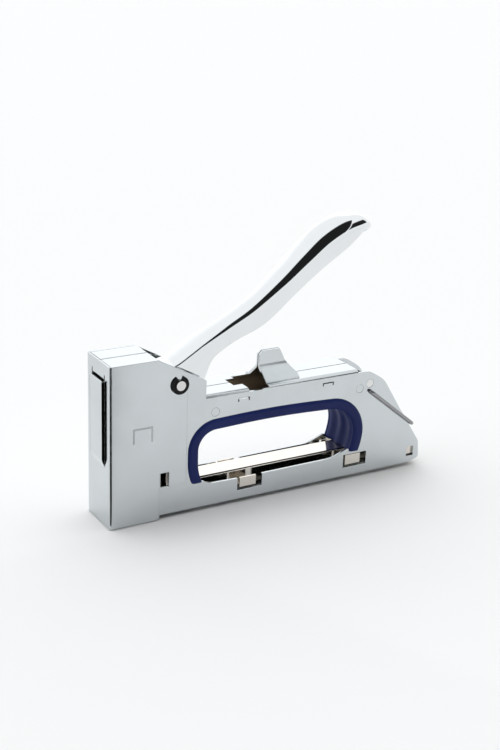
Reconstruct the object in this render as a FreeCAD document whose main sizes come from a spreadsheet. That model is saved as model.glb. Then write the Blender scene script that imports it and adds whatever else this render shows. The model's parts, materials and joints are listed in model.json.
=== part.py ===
import FreeCAD, Part
import math
import os
import re

import Sketcher

# A hand staple gun (staple tacker), in millimetres.
#
# Outlines are measured from the nose's front face (x rearwards), the middle plane (y, minus is
# the left-hand side) and the sole of the nose (z upwards). Every piece is then shifted so that
# the frame's origin is in the middle of the overall length, at the sole.

doc = FreeCAD.newDocument("StapleGun")
sheet = doc.addObject("Spreadsheet::Sheet", "Sizes")

SIZES = {
    # overall
    "body_length": 187.3, "body_top": 61.5, "sole_step": 2.0,
    "nose_top": 84.2, "nose_wide": 26.7, "nose_deep": 41.4, "ear_end": 52.2,
    "slope_start": 25.5, "ear_top": 69.7,
    # sheet metal
    "shell_wall": 1.2, "shell_half": 12.3, "seam": 0.3, "shoulder": 2.3,
    "cover_wall": 0.85, "cover_half": "=shell_half + cover_wall + 0.05", "cover_bend": 1.0,
    "pad_proud": 1.4, "pad_half": 7.0, "pad_low": 33.0, "pad_high": 75.5,
    "gap": 0.1, "free_gap": 0.3,
    # fin on top of the shells
    "fin_front": 88.5, "fin_rear": 108.5, "fin_top": 76.3, "fin_wall": 1.2, "notch_front": 77.0,
    # grip insert
    "grip_front": 42.4, "grip_rear": "=body_length - 38.9", "grip_crown": 49.9, "grip_foot": 15.8,
    "grip_band": 6.2, "grip_edge": 3.1, "grip_half": "=shell_half + 1.1", "grip_front_bend": 16.2,
    "grip_rear_bend": 21.8, "beam_edge": 13.4,
    # lever and its pivot
    "pivot_x": 37.0, "pivot_z": 70.0, "pin_radius": 2.5, "running_fit": 0.05,
    "lever_wall": 1.1, "lever_reach": 115.0, "lever_rise": 67.0, "root_half": 8.0,
    "arm_reach": 27.0, "arm_angle": 14.0, "arm_inner": 8.15, "arm_wall": 1.4, "arm_tip": 2.2,
    "clip_radius": 4.7, "clip_wall": 0.8,
    # driving mechanism
    "blade_front": 0.95, "blade_wall": 1.0, "blade_half": 5.2,
    "plunger_low": 44.0, "plunger_seat": 52.0, "plunger_rear": 20.0, "plunger_inner": 6.75,
    "spring_x": 11.0, "spring_radius": 6.4, "spring_wire": 2.0, "spring_turns": 6.5,
    "seat_wall": 1.3, "bumper_high": 5.7,
    # magazine
    "bar_half": 6.3, "bar_wall": 0.85, "bar_top": 15.6, "bar_front": 2.3, "bar_rear": "=body_length - 13.3",
    "rail_half": "=bar_half - bar_wall - 0.85", "rail_wall": 0.8, "rail_top": 12.0, "rail_low": 3.6,
    "rod_radius": 1.2, "rod_z": 7.4, "pusher_front": 8.0, "pusher_length": 22.0,
    "cap_front": "=body_length - 12.3", "cap_rear": "=body_length - 1.3", "cap_half": 7.6,
    "catch_half": "=shell_half - 1.3",
    "catch_wall": 1.6, "window_low": 6.8, "tab_wall": 1.0,
    # lock bail
    "bail_x": "=body_length - 36.1", "bail_z": 48.6, "bar_x": "=body_length - 6.5", "bar_z": 25.2,
    "wire_radius": 1.0, "bail_half": "=shell_half + 1.8", "bail_bend": 2.5,
}
for row, (alias, number) in enumerate(SIZES.items(), start=1):
    sheet.set("A%d" % row, alias)
    sheet.set("B%d" % row, str(number))
    sheet.setAlias("B%d" % row, alias)
doc.recompute()

WORD = re.compile(r"[a-z_][a-z0-9_]*")
SHIFT = "pad_proud / 2 - body_length / 2"


def bound(expression):
    """Return an expression on the sizes in the form that setExpression reads."""
    return WORD.sub(lambda word: "Sizes." + word[0] if word[0] in SIZES else word[0], str(expression))


def value(expression):
    """Return what an expression on the sizes comes to."""
    result = sheet.evalExpression(str(expression))
    return float(getattr(result, "Value", result))


def place(item, x="0", z="0"):
    """Bind a piece's placement to the middle of the overall length, plus its own start."""
    item.setExpression("Placement.Base.x", bound("%s + %s" % (x, SHIFT)))
    item.setExpression("Placement.Base.z", bound(z))
    return item


# ---------------------------------------------------------------- sketched pieces

PLANES = {"side": "XZ_Plane", "top": "XY_Plane", "end": "YZ_Plane"}


def make_body(label):
    """Make an empty sketched piece."""
    body = doc.addObject("PartDesign::Body", label)
    body.Label = label
    return place(body)


def corner_points(before, corner, after, radius):
    """Return where an arc that rounds a corner starts, bulges and ends."""
    to_before = (before - corner).normalize()
    to_after = (after - corner).normalize()
    half = to_before.getAngle(to_after) / 2
    reach = radius / math.tan(half)
    middle = (to_before + to_after).normalize()
    centre = corner + middle * (radius / math.sin(half))
    return corner + to_before * reach, centre - middle * radius, corner + to_after * reach


def draw_loop(sketch, outline):
    """Draw a closed outline of (x, y) or (x, y, radius), each corner bound to the sheet."""
    corners = [FreeCAD.Vector(value(point[0]), value(point[1]), 0) for point in outline]
    count = len(corners)
    rounded = {}
    for index, point in enumerate(outline):
        if len(point) == 3:
            rounded[index] = corner_points(corners[index - 1], corners[index],
                                           corners[(index + 1) % count], value(point[2]))
    lines = []
    for index in range(count):
        after = (index + 1) % count
        begin = rounded[index][2] if index in rounded else corners[index]
        end = rounded[after][0] if after in rounded else corners[after]
        lines.append(sketch.addGeometry(Part.LineSegment(begin, end), False))
    for index, point in enumerate(outline):
        before, line = lines[index - 1], lines[index]
        if index in rounded:
            arc = sketch.addGeometry(Part.Arc(*rounded[index]), False)
            anchor = sketch.addGeometry(Part.Point(corners[index]), True)
            first, last = arc_ends(sketch, arc, rounded[index][0])
            sketch.addConstraint(Sketcher.Constraint("Tangent", before, 2, arc, first))
            sketch.addConstraint(Sketcher.Constraint("Tangent", arc, last, line, 1))
            sketch.addConstraint(Sketcher.Constraint("PointOnObject", anchor, 1, before))
            sketch.addConstraint(Sketcher.Constraint("PointOnObject", anchor, 1, line))
            number = sketch.addConstraint(Sketcher.Constraint("Radius", arc, value(point[2])))
            sketch.setExpression("Constraints[%d]" % number, bound(point[2]))
        else:
            anchor = line
            sketch.addConstraint(Sketcher.Constraint("Coincident", before, 2, line, 1))
        for kind, expression in (("DistanceX", point[0]), ("DistanceY", point[1])):
            number = sketch.addConstraint(Sketcher.Constraint(kind, -1, 1, anchor, 1, value(expression)))
            sketch.setExpression("Constraints[%d]" % number, bound(expression))


def arc_ends(sketch, arc, start):
    """Return the arc's point numbers, the one at start first."""
    if sketch.getPoint(arc, 1).distanceToPoint(start) < sketch.getPoint(arc, 2).distanceToPoint(start):
        return 1, 2
    return 2, 1


def draw_circle(sketch, x, y, radius):
    """Draw a circle bound to the sheet."""
    centre = FreeCAD.Vector(value(x), value(y), 0)
    circle = sketch.addGeometry(Part.Circle(centre, FreeCAD.Vector(0, 0, 1), value(radius)), False)
    for kind, expression in (("DistanceX", x), ("DistanceY", y)):
        number = sketch.addConstraint(Sketcher.Constraint(kind, -1, 1, circle, 3, value(expression)))
        sketch.setExpression("Constraints[%d]" % number, bound(expression))
    number = sketch.addConstraint(Sketcher.Constraint("Radius", circle, value(radius)))
    sketch.setExpression("Constraints[%d]" % number, bound(radius))


def extrude(body, kind, name, plane, low, high, *loops):
    """Add a Pad or Pocket of closed loops between two heights along the plane's row axis.

    A loop is a list of corners, or a tuple (x, y, radius) for a circle."""
    sketch = body.newObject("Sketcher::SketchObject", name + "_sketch")
    origin = [item for item in body.Origin.OriginFeatures if item.Role == PLANES[plane]][0]
    sketch.AttachmentSupport = [(origin, "")]
    sketch.MapMode = "FlatFace"
    offset = "-(%s)" % high if plane == "side" else low
    sketch.setExpression("AttachmentOffset.Base.z", bound(offset))
    for loop in loops:
        if isinstance(loop, tuple):
            draw_circle(sketch, *loop)
        else:
            draw_loop(sketch, loop)
    feature = body.newObject("PartDesign::" + kind, name)
    feature.Profile = sketch
    feature.setExpression("Length", bound("(%s) - (%s)" % (high, low)))
    if kind == "Pocket":
        feature.Reversed = True
    sketch.Visibility = False
    return feature


def box_loop(x_low, x_high, y_low, y_high):
    """Return a rectangle's corners."""
    return [(x_low, y_low), (x_high, y_low), (x_high, y_high), (x_low, y_high)]


def round_edges(body, name, radius, wanted):
    """Fillet the edges of a piece whose middle and direction pass a test."""
    doc.recompute()
    base = body.Tip
    names = []
    for number, edge in enumerate(base.Shape.Edges, start=1):
        middle = edge.valueAt((edge.FirstParameter + edge.LastParameter) / 2)
        along = edge.tangentAt((edge.FirstParameter + edge.LastParameter) / 2)
        if wanted(middle, along, edge):
            names.append("Edge%d" % number)
    fillet = body.newObject("PartDesign::Fillet", name)
    fillet.Base = (base, names)
    fillet.setExpression("Radius", bound(radius))
    return fillet


# ---------------------------------------------------------------- primitive pieces

TURNS = {
    "x": FreeCAD.Rotation(FreeCAD.Vector(0, 1, 0), 90),
    "y": FreeCAD.Rotation(FreeCAD.Vector(1, 0, 0), -90),
    "z": FreeCAD.Rotation(),
}


def cylinder(name, axis, x, y, z, radius, length):
    """Make a bound cylinder that starts at a point and runs along a row axis."""
    item = doc.addObject("Part::Cylinder", name)
    item.Placement = FreeCAD.Placement(FreeCAD.Vector(), TURNS[axis])
    item.setExpression("Radius", bound(radius))
    item.setExpression("Height", bound(length))
    for letter, expression in zip("xyz", (x, y, z)):
        item.setExpression("Placement.Base." + letter, bound(expression))
    return item


def block(name, x_low, x_high, y_low, y_high, z_low, z_high):
    """Make a bound box between two corners."""
    item = doc.addObject("Part::Box", name)
    limits = ((x_low, x_high), (y_low, y_high), (z_low, z_high))
    for letter, side, (low, high) in zip("xyz", ("Length", "Width", "Height"), limits):
        item.setExpression("Placement.Base." + letter, bound(low))
        item.setExpression(side, bound("(%s) - (%s)" % (high, low)))
    return item


def fuse(label, *items):
    """Join solids into one piece."""
    item = doc.addObject("Part::MultiFuse", label)
    item.Shapes = list(items)
    item.Refine = True
    return item


def cut(label, base, tool):
    """Take one solid away from another."""
    item = doc.addObject("Part::Cut", label)
    item.Base = base
    item.Tool = tool
    return item


def group(label, *items):
    """Keep like pieces, such as rivets, as separate solids of one node."""
    item = doc.addObject("Part::Compound", label)
    item.Links = list(items)
    return item


# ---------------------------------------------------------------- body shells

def slope(x, drop=0):
    """Return the height of the nose's rear slope at x, lowered by a plate's thickness."""
    run = "(nose_top - ear_top) / (ear_end - slope_start)"
    return "nose_top - (%s - slope_start) * %s - (%s)" % (x, run, drop)


def grip_line(inset):
    """Return the corners of the grip's arch, inset from its outer line, from front foot to rear."""
    return [
        ("grip_front + 2.7 + %s" % inset, "grip_foot"),
        ("grip_front + %s" % inset, "grip_foot + 7", "8"),
        ("grip_front + %s" % inset, "grip_crown - 1.1 - %s" % inset, "grip_front_bend - %s" % inset),
        ("(grip_front + grip_rear) / 2 - 4", "grip_crown - %s" % inset, "180"),
        ("grip_rear - %s" % inset, "grip_crown - 2.7 - %s" % inset, "grip_rear_bend - %s" % inset),
        ("grip_rear - %s" % inset, "grip_foot + 8", "16"),
        ("grip_rear - 2.2 - %s" % inset, "grip_foot"),
    ]


def beam_line():
    """Return the beam's upper edge between the grip's feet, from rear to front."""
    return [
        ("grip_rear - 2.2 - grip_edge", "grip_foot - gap"),
        ("grip_rear - 2.2 - grip_band - gap", "grip_foot - gap"),
        ("grip_rear - 2 - grip_band - gap", "beam_edge + 4.6", "1"),
        ("grip_rear - 19", "beam_edge + 0.3", "20"),
        ("grip_front + 30", "beam_edge", "60"),
        ("grip_front + 13", "beam_edge + 0.3", "12"),
        ("grip_front + 9.6", "grip_foot - gap"),
        ("grip_front + 2.7 + grip_edge", "grip_foot - gap"),
    ]


def build_left_shell():
    """Pressed side plate with its folded top, tail, bottom lip and turned-up fin."""
    body = make_body("body_shell_left")
    inner = "shell_half - shell_wall"
    plate_front = "cover_wall + free_gap"
    extrude(body, "Pad", "plate", "side", "-(shell_half)", "-(%s)" % inner, [
        (plate_front, "sole_step"),
        ("body_length - 7", "sole_step", "3"),
        ("body_length", "sole_step + 2", "1.8"),
        ("body_length - 0.9", "sole_step + 11.8", "3"),
        ("body_length - 16.5", "sole_step + 35.3", "10"),
        ("body_length - 27", "sole_step + 51.8", "16"),
        ("body_length - 37", "body_top - 1.5", "12"),
        ("ear_end + 90", "body_top - 1.5"),
        ("ear_end", "body_top - 1.5"),
        ("ear_end", "ear_top", "0.8"),
        ("nose_deep + gap", slope("(nose_deep + gap)")),
        ("nose_deep + gap", slope("(nose_deep + gap)", "cover_wall + gap")),
        ("slope_start", "nose_top - cover_wall - gap"),
        (plate_front, "nose_top - cover_wall - gap"),
    ])
    extrude(body, "Pad", "shoulder_fold", "end", "ear_end", "ear_end + 91", [
        ("-(shell_half)", "body_top - 6"),
        ("-(shell_half)", "body_top", "shoulder"),
        ("-(seam) / 2", "body_top"),
        ("-(seam) / 2", "body_top - shell_wall"),
        ("-(%s)" % inner, "body_top - shell_wall", "shoulder - shell_wall"),
        ("-(%s)" % inner, "body_top - 6"),
    ])
    extrude(body, "Pad", "tail_fold", "side", "-9.5", "-(seam) / 2", [
        ("ear_end + 90", "body_top"),
        ("ear_end + 91", "body_top"),
        ("ear_end + 98.2", "body_top - 4.1"),
        ("ear_end + 97.6", "body_top - 4.1 - shell_wall"),
        ("ear_end + 90.7", "body_top - shell_wall"),
        ("ear_end + 90", "body_top - shell_wall"),
    ])
    extrude(body, "Pad", "bottom_lip", "end", "nose_wide + 1.5", "body_length - 12", [
        ("-(shell_half) + 0.2", "sole_step"),
        ("-9", "sole_step"),
        ("-9", "sole_step + shell_wall"),
        ("-(shell_half) + 0.2", "sole_step + shell_wall"),
    ])
    # open the top under the fin, then raise the fin with its flared foot
    extrude(body, "Pocket", "fin_mouth", "top", "body_top - 3", "body_top + 1",
            box_loop("fin_front - 1", "fin_rear", "-8.6", "1"))
    extrude(body, "Pad", "fin", "end", "fin_front", "fin_rear", [
        ("-9.4", "body_top", "3"),
        ("-(seam) / 2 - fin_wall", "fin_top - 8", "4"),
        ("-(seam) / 2 - fin_wall", "fin_top"),
        ("-(seam) / 2", "fin_top"),
        ("-(seam) / 2", "fin_top - 8.6", "4.5"),
        ("-8.4", "body_top - shell_wall"),
        ("-9.4", "body_top - shell_wall"),
    ])
    extrude(body, "Pocket", "fin_rear_trim", "side", "-8.5", "0", [
        ("fin_rear - 8", "fin_top + 1"),
        ("fin_rear - 8", "fin_top"),
        ("fin_rear - 4.6", "fin_top - 6.8", "6"),
        ("fin_rear", "body_top + 2"),
        ("fin_rear + 1", "body_top + 2"),
        ("fin_rear + 1", "fin_top + 1"),
    ])
    extrude(body, "Pocket", "fin_front_trim", "side", "-4", "0", [
        ("fin_front - 1", "fin_top + 1"),
        ("fin_front - 1", "fin_top - 2.6"),
        ("fin_front + 0.3", "fin_top - 1.8"),
        ("fin_front + 2.8", "fin_top + 1"),
    ])
    extrude(body, "Pocket", "top_notch", "side", "-(shell_half) - 1", "1",
            box_loop("notch_front", "fin_front", "body_top - 1.6", "body_top + 1"))
    extrude(body, "Pocket", "top_mouth", "top", "body_top - 3", "body_top + 1",
            box_loop("notch_front - 5", "notch_front + 1", "-4.5", "1"))
    extrude(body, "Pocket", "hand_opening", "side", "-(shell_half) - 1", "-(%s) + 2" % inner,
            grip_line("grip_edge") + beam_line())
    extrude(body, "Pocket", "windows", "side", "-(shell_half) - 1", "-(%s) + 1" % inner,
            box_loop("grip_front + 29.2", "grip_front + 43.8", "window_low", "beam_edge + 2"),
            box_loop("grip_rear - 11.7", "grip_rear + 3.1", "window_low", "window_low + 7.3"),
            box_loop("nose_wide + 0.9", "nose_deep - 0.6", "17.2", "24.8"),
            box_loop("body_length - 8.5", "body_length - 3.8", "5.8", "11.3"))
    for name, start, top in (("front", "70.5", "57.3"), ("rear", "121", "57.6")):
        extrude(body, "Pocket", name + "_lance", "side", "-(shell_half) - 1", "-(%s) + 1" % inner, [
            (start, top + " - 1.8"), (start, top), (start + " + 6.7", top),
            (start + " + 6.7", top + " - 1.8"), (start + " + 6.1", top + " - 1.8"),
            (start + " + 6.1", top + " - 0.6"), (start + " + 0.6", top + " - 0.6"),
            (start + " + 0.6", top + " - 1.8")])
    holes = [("pivot_x", "pivot_z", "pin_radius + running_fit"),
             ("bail_x", "bail_z", "wire_radius + running_fit"),
             ("bail_x - 0.2", "bail_z + 4.4", "2.25 + gap")]
    holes += [(x, z, "2.3 + gap / 2") for x, z in RIVETS]
    extrude(body, "Pocket", "holes", "side", "-(shell_half) - 1", "-(%s) + 1" % inner, *holes)
    return body


RIVETS = [("57.7", "52.2"), ("grip_rear - 3.8", "50.9")]

left_shell = build_left_shell()
right_shell = doc.addObject("Part::Mirroring", "body_shell_right")
right_shell.Source = left_shell
right_shell.Normal = FreeCAD.Vector(0, 1, 0)


# ---------------------------------------------------------------- nose cover

def build_nose_cover():
    """Plate folded round the nose: raised front pad, two cheeks, folded top with a seam."""
    body = make_body("nose_cover")
    cheek = [
        ("0", "0"), ("nose_wide", "0"), ("nose_wide", "25"), ("nose_wide + 5.1", "25"),
        ("nose_wide + 5.1", "17"), ("nose_deep", "17", "2"), ("nose_deep", slope("nose_deep")),
        ("slope_start", "nose_top"), ("0", "nose_top"),
    ]
    extrude(body, "Pad", "cheeks", "side", "-(cover_half)", "cover_half", cheek)
    round_edges(body, "front_bends", "cover_bend",
                lambda mid, along, edge: mid.x < 0.1 and abs(along.z) > 0.9)
    inside = "cover_half - cover_wall"
    extrude(body, "Pocket", "hollow", "side", "-(%s)" % inside, inside, [
        ("cover_wall", "-1"), ("nose_deep + 1", "-1"),
        ("nose_deep + 1", slope("(nose_deep + 1)", "cover_wall")),
        ("slope_start", "nose_top - cover_wall"), ("cover_wall", "nose_top - cover_wall"),
    ])
    extrude(body, "Pocket", "lever_mouth", "side", "-(arm_inner) - arm_wall - 0.35",
            "arm_inner + arm_wall + 0.35", [
        ("slope_start + 0.3", "nose_top - 4"), ("nose_deep + 1", "nose_top - 20"),
        ("nose_deep + 1", "nose_top + 1"), ("slope_start + 0.3", "nose_top + 1"),
    ])
    extrude(body, "Pocket", "top_seam", "top", "nose_top - 2", "nose_top + 1",
            box_loop("cover_wall", "slope_start + 1", "-(seam) / 2", "seam / 2"))
    extrude(body, "Pocket", "front_seam", "top", "nose_top - cover_wall - 0.01", "nose_top + 1",
            box_loop("cover_wall", "cover_wall + seam", "-(%s)" % inside, inside))
    # the front plate's pad is drawn out from behind and sheared along its top
    extrude(body, "Pad", "pad", "side", "-(pad_half)", "pad_half", [
        ("cover_wall", "pad_low - 2"), ("0", "pad_low - 2"), ("-(pad_proud)", "pad_low + 2", "3"),
        ("-(pad_proud)", "pad_high"), ("cover_wall", "pad_high")])
    extrude(body, "Pocket", "pad_hollow", "side", "-(pad_half) + cover_wall", "pad_half - cover_wall", [
        ("cover_wall + 0.1", "pad_low - 1.2"), ("cover_wall - 0.1", "pad_low - 1.2"),
        ("-(pad_proud) + cover_wall", "pad_low + 2.6"), ("-(pad_proud) + cover_wall", "pad_high + 1"),
        ("cover_wall + 0.1", "pad_high + 1")])
    extrude(body, "Pocket", "pad_shear", "end", "-(pad_proud) - 1", "cover_wall + 0.05", [
        ("-(pad_half) - 0.5", "pad_high + 3"), ("-(pad_half) + 0.3", "pad_high + 3"),
        ("-(pad_half) + 0.3", "pad_high + 0.9"), ("pad_half - 0.3", "pad_high + 0.9"),
        ("pad_half - 0.3", "pad_high + 3"), ("pad_half + 0.5", "pad_high + 3"),
        ("pad_half + 0.5", "pad_high"), ("-(pad_half) - 0.5", "pad_high")])
    extrude(body, "Pocket", "pivot_hole", "side", "-(cover_half) - 1", "cover_half + 1",
            ("pivot_x", "pivot_z", "pin_radius + running_fit"))
    return body


build_nose_cover()


# ---------------------------------------------------------------- grip insert

def build_grip():
    """Plastic arch round the hand opening, slotted to take the edges of both shells."""
    body = make_body("grip_insert")
    extrude(body, "Pad", "arch", "side", "-(grip_half)", "grip_half",
            grip_line("0") + grip_line("grip_band")[::-1])
    round_edges(body, "soft_edges", "1.6",
                lambda mid, along, edge: abs(abs(mid.y) - value("grip_half")) < 0.01)
    outside = grip_line("(-1)")
    for side, low in (("left", "-(shell_half) - gap / 2"),
                      ("right", "shell_half - shell_wall - gap / 2")):
        extrude(body, "Pocket", side + "_slot", "side", low, low + " + shell_wall + gap",
                [("grip_front - 1", "grip_foot - 1")] + outside[2:5]
                + [("grip_rear + 1", "grip_foot - 1"),
                   ("grip_rear - 2.2 - grip_edge - gap", "grip_foot - 1")]
                + grip_line("(grip_edge + gap)")[::-1]
                + [("grip_front + 2.7 + grip_edge + gap", "grip_foot - 1")])
    return body


build_grip()


# ---------------------------------------------------------------- pivot

def build_pivot():
    """Pivot pin with a head on the right, its spring clip on the left, and two spacers."""
    start = "-(cover_half) - 1.7"
    shank = cylinder("pivot_shank", "y", "pivot_x", start, "pivot_z", "pin_radius",
                     "2 * cover_half + 1.7 + gap")
    head = cylinder("pivot_head", "y", "pivot_x", "cover_half + gap", "pivot_z", "pin_radius + 1.6", "1.2")
    groove = doc.addObject("Part::Cut", "pivot_groove")
    groove.Base = cylinder("groove_outer", "y", "pivot_x", "-(cover_half) - gap - clip_wall", "pivot_z",
                           "pin_radius + 1", "clip_wall")
    groove.Tool = cylinder("groove_inner", "y", "pivot_x", "-(cover_half) - gap - clip_wall - 1",
                           "pivot_z", "pin_radius - 0.5", "clip_wall + 2")
    place(cut("pivot_pin", fuse("pivot_solid", shank, head), groove))

    body = make_body("pivot_clip")
    low = "-(cover_half) - gap - clip_wall + 0.02"
    extrude(body, "Pad", "ring", "side", low, "-(cover_half) - gap - 0.02",
            ("pivot_x", "pivot_z", "clip_radius"))
    extrude(body, "Pocket", "ring_bore", "side", low + " - 1", "-(cover_half) + 1",
            ("pivot_x", "pivot_z", "pin_radius - 0.45"))
    extrude(body, "Pocket", "ring_mouth", "side", low + " - 1", "-(cover_half) + 1",
            [("pivot_x", "pivot_z"), ("pivot_x + 2.6", "pivot_z + 6"), ("pivot_x - 2.6", "pivot_z + 6")])

    tubes = []
    inner = "arm_inner + arm_wall + gap"
    length = "shell_half - shell_wall - gap - (%s)" % inner
    for side, start in (("left", "-(%s) - (%s)" % (inner, length)), ("right", inner)):
        outer = cylinder(side + "_spacer", "y", "pivot_x", start, "pivot_z", "pin_radius + 1.5", length)
        bore = cylinder(side + "_spacer_bore", "y", "pivot_x", start + " - 1", "pivot_z",
                        "pin_radius + running_fit", "(%s) + 2" % length)
        tubes.append(cut(side + "_spacer_tube", outer, bore))
    place(group("pivot_spacers", *tubes))


build_pivot()


# ---------------------------------------------------------------- rivets between the shells

def build_shell_fasteners():
    """Shouldered rivets and the rear spacer pin, flush with the shells outside."""
    rivets = []
    for number, (x, z) in enumerate(RIVETS):
        shank = cylinder("rivet_end_%d" % number, "y", x, "-(shell_half) + 0.05", z, "2.3",
                         "2 * shell_half - 0.1")
        barrel = cylinder("rivet_barrel_%d" % number, "y", x, "-(shell_half) + shell_wall + gap", z, "2.9",
                          "2 * (shell_half - shell_wall - gap)")
        rivets.append(fuse("rivet_%d" % number, shank, barrel))
    place(group("shell_rivets", *rivets))
    ends = cylinder("spacer_ends", "y", "bail_x - 0.2", "-(shell_half) + 0.05", "bail_z + 4.4", "2.25",
                    "2 * shell_half - 0.1")
    barrel = cylinder("spacer_barrel", "y", "bail_x - 0.2", "-(shell_half) + shell_wall + 2",
                      "bail_z + 4.4", "2.6", "2 * (shell_half - shell_wall - 2)")
    place(fuse("rear_spacer_pin", ends, barrel))


build_shell_fasteners()


# ---------------------------------------------------------------- hand lever

# Along the lever from root to tip: place of the crown and depth of the flanges as shares of the
# lever's reach and rise from the pivot, half width, shoulder radius and slope in degrees.
LEVER_STATIONS = [
    (-0.075, 0.035, 14.0, 8.0, 0.9, 62),
    (-0.045, 0.105, 17.8, 8.0, 0.9, 45),
    (0.010, 0.126, 17.5, 8.0, 0.9, 29),
    (0.070, 0.184, 16.0, 8.0, 0.9, 29),
    (0.134, 0.250, 10.2, 7.9, 1.0, 27),
    (0.200, 0.310, 9.0, 7.2, 1.6, 26),
    (0.272, 0.375, 9.6, 6.6, 2.3, 29),
    (0.383, 0.486, 11.7, 7.0, 3.2, 36),
    (0.517, 0.680, 11.4, 8.8, 5.0, 43),
    (0.623, 0.851, 12.6, 9.8, 6.2, 41),
    (0.721, 0.991, 14.0, 10.0, 6.6, 34),
    (0.833, 1.085, 12.8, 9.8, 6.4, 15),
    (0.920, 1.098, 9.6, 8.8, 5.6, -8),
    (0.972, 1.062, 6.6, 7.2, 4.0, -34),
    (0.997, 1.005, 3.4, 4.6, 2.4, -52),
]


def lever_section(station, thinner=0.0):
    """Return the closed section of the lever at a station, or of the space inside it."""
    along, up, depth, half, corner, angle = station
    crown = FreeCAD.Vector(value("pivot_x") + along * value("lever_reach"), 0,
                           value("pivot_z") + up * value("lever_rise"))
    lean = math.radians(angle)
    down = FreeCAD.Vector(math.sin(lean), 0, -math.cos(lean))
    side = FreeCAD.Vector(0, 1, 0)
    half -= thinner
    corner = max(corner - thinner, 0.3)
    foot = depth + thinner
    bend = corner * (1 - math.sqrt(0.5))

    def at(across, below):
        return crown + side * across + down * (below + thinner)

    below = foot - thinner
    edges = [
        Part.LineSegment(at(-half, below), at(-half, corner)),
        Part.Arc(at(-half, corner), at(-half + bend, bend), at(-half + corner, 0)),
        Part.LineSegment(at(-half + corner, 0), at(half - corner, 0)),
        Part.Arc(at(half - corner, 0), at(half - bend, bend), at(half, corner)),
        Part.LineSegment(at(half, corner), at(half, below)),
        Part.LineSegment(at(half, below), at(-half, below)),
    ]
    return Part.Wire([edge.toShape() for edge in edges])


def build_lever():
    """Pressed channel lever, open below, closed at the tip by its domed end."""
    wall = value("lever_wall")
    outer = Part.makeLoft([lever_section(station) for station in LEVER_STATIONS], True, True)
    first = LEVER_STATIONS[0]
    before = (first[0] - 0.04, first[1] - 0.11) + first[2:]
    hollow = [before] + LEVER_STATIONS[:-2]
    inner = Part.makeLoft([lever_section(station, wall) for station in hollow], True, True)
    pivot = FreeCAD.Vector(value("pivot_x"), -20, value("pivot_z"))
    bore = Part.makeCylinder(value("pin_radius + running_fit"), 40, pivot, FreeCAD.Vector(0, 1, 0))
    shell = outer.cut(inner).cut(bore)
    for x, z in ARM_RIVETS:
        start = FreeCAD.Vector(value(x), -20, value(z))
        hole = Part.makeCylinder(value("1.5 + gap / 2"), 40, start, FreeCAD.Vector(0, 1, 0))
        shell = shell.cut(hole)
    lever = doc.addObject("Part::Feature", "hand_lever")
    lever.Shape = max(shell.Solids, key=lambda solid: solid.Volume)
    place(lever)


# Where the lift arms are riveted to the lever's flanges.
ARM_RIVETS = [("pivot_x + 5.2", "pivot_z - 2"), ("pivot_x - 4.5", "pivot_z + 4")]


def build_arms():
    """Two plates riveted outside the lever's flanges; their tips lift the plunger."""
    for side, low in (("left", "-(arm_inner) - arm_wall"), ("right", "arm_inner")):
        body = make_body("lift_arm_" + side)
        reach_x = "arm_reach * cos(arm_angle * 1 deg)"
        drop = "arm_reach * sin(arm_angle * 1 deg)"
        extrude(body, "Pad", "arm", "side", low, low + " + arm_wall", [
            ("pivot_x - %s - arm_tip" % reach_x, "pivot_z - %s - arm_tip" % drop, "arm_tip * 0.9"),
            ("pivot_x - 6", "pivot_z - 7.5", "8"),
            ("pivot_x + 7", "pivot_z - 6.5", "5"),
            ("pivot_x + 9", "pivot_z - 0.5", "2.5"),
            ("pivot_x + 3", "pivot_z + 5.5", "4"),
            ("pivot_x - 6", "pivot_z + 7.5", "4"),
            ("pivot_x - %s + arm_tip" % reach_x, "pivot_z - %s + arm_tip" % drop, "1.5"),
            ("pivot_x - %s - arm_tip" % reach_x, "pivot_z - %s + arm_tip" % drop, "arm_tip * 0.9"),
        ])
        holes = [("pivot_x", "pivot_z", "pin_radius + running_fit")]
        holes += [(x, z, "1.5 + gap / 2") for x, z in ARM_RIVETS]
        extrude(body, "Pocket", "arm_holes", "side", low + " - 1", low + " + arm_wall + 1", *holes)
    rivets = []
    for number, (x, z) in enumerate(ARM_RIVETS):
        for side, start in (("left", "-(arm_inner) - arm_wall"), ("right", "root_half - lever_wall - 0.5")):
            length = "arm_inner + arm_wall - root_half + lever_wall + 0.5"
            rivets.append(cylinder("arm_rivet_%s_%d" % (side, number), "y", x, start, z, "1.5", length))
    place(group("lever_rivets", *rivets))


build_lever()
build_arms()


# ---------------------------------------------------------------- driver

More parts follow.
